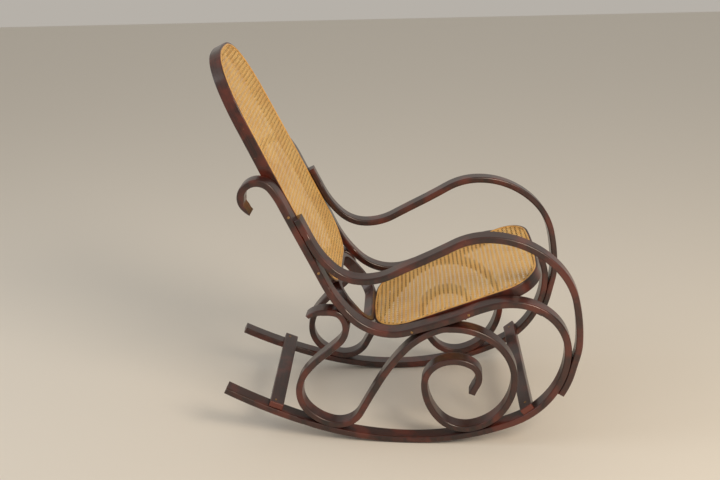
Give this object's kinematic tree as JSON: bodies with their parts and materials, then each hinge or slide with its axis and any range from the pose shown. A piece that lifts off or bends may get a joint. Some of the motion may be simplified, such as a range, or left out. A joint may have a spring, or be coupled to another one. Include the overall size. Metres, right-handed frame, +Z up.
{
  "type": "rocking chair",
  "caption": "Bentwood rocking chair with scrolled sides, curved runners, looping arms, and a cane seat and back in rounded frames.",
  "frame": {"origin": "centre of the bounding box on the floor, under the runners", "axes": "+Z up; the chair faces -Y; +X is to the sitter's left"},
  "size_m": [0.5616, 0.9794, 1.0789],
  "materials": {
    "bent_wood": "gloss",
    "cane": "satin",
    "spline": "satin"
  },
  "bodies": {
    "root": {"back_cane": "cane", "back_frame": "bent_wood", "back_spline": "spline", "front_stretcher": "bent_wood", "left_arm": "bent_wood", "left_curl": "bent_wood", "left_rail": "bent_wood", "left_runner": "bent_wood", "left_sweep": "bent_wood", "left_upright": "bent_wood", "link_hoop": "bent_wood", "rear_stretcher": "bent_wood", "right_arm": "bent_wood", "right_curl": "bent_wood", "right_rail": "bent_wood", "right_runner": "bent_wood", "right_sweep": "bent_wood", "right_upright": "bent_wood", "seat_cane": "cane", "seat_frame": "bent_wood", "seat_spline": "spline"}
  },
  "joints": []
}
